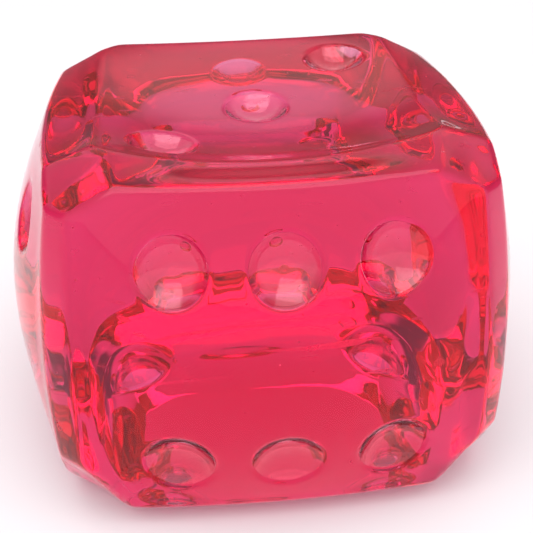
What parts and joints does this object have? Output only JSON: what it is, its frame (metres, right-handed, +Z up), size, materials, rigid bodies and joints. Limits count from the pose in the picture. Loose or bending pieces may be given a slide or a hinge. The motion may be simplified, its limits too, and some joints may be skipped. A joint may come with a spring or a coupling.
{
  "type": "casino die",
  "caption": "Clear red cast die with swollen sides, a sunk top, an arched foot, cut edges and corners, and clear dished pips lining round pockets",
  "frame": {"origin": "the middle of the face with four pips, level with the flats that the die rests on", "axes": "+Z up out of the face with three pips, -Y out of the face with six pips, -X out of the face with two pips"},
  "size_m": [0.019, 0.019, 0.0138],
  "materials": {
    "clear_red_acrylic": "polished",
    "clear_pip_resin": "polished"
  },
  "bodies": {
    "root": {"die_body": "clear_red_acrylic", "pip_six_upper_left": "clear_pip_resin", "pip_six_upper_middle": "clear_pip_resin", "pip_six_upper_right": "clear_pip_resin", "pip_six_lower_left": "clear_pip_resin", "pip_six_lower_middle": "clear_pip_resin", "pip_six_lower_right": "clear_pip_resin", "pip_one": "clear_pip_resin", "pip_two_front": "clear_pip_resin", "pip_two_back": "clear_pip_resin", "pip_three_front": "clear_pip_resin", "pip_three_middle": "clear_pip_resin", "pip_three_back": "clear_pip_resin", "pip_four_front_left": "clear_pip_resin", "pip_four_front_right": "clear_pip_resin", "pip_four_back_left": "clear_pip_resin", "pip_four_back_right": "clear_pip_resin", "pip_five_upper_front": "clear_pip_resin", "pip_five_upper_back": "clear_pip_resin", "pip_five_middle": "clear_pip_resin", "pip_five_lower_front": "clear_pip_resin", "pip_five_lower_back": "clear_pip_resin"}
  },
  "joints": []
}
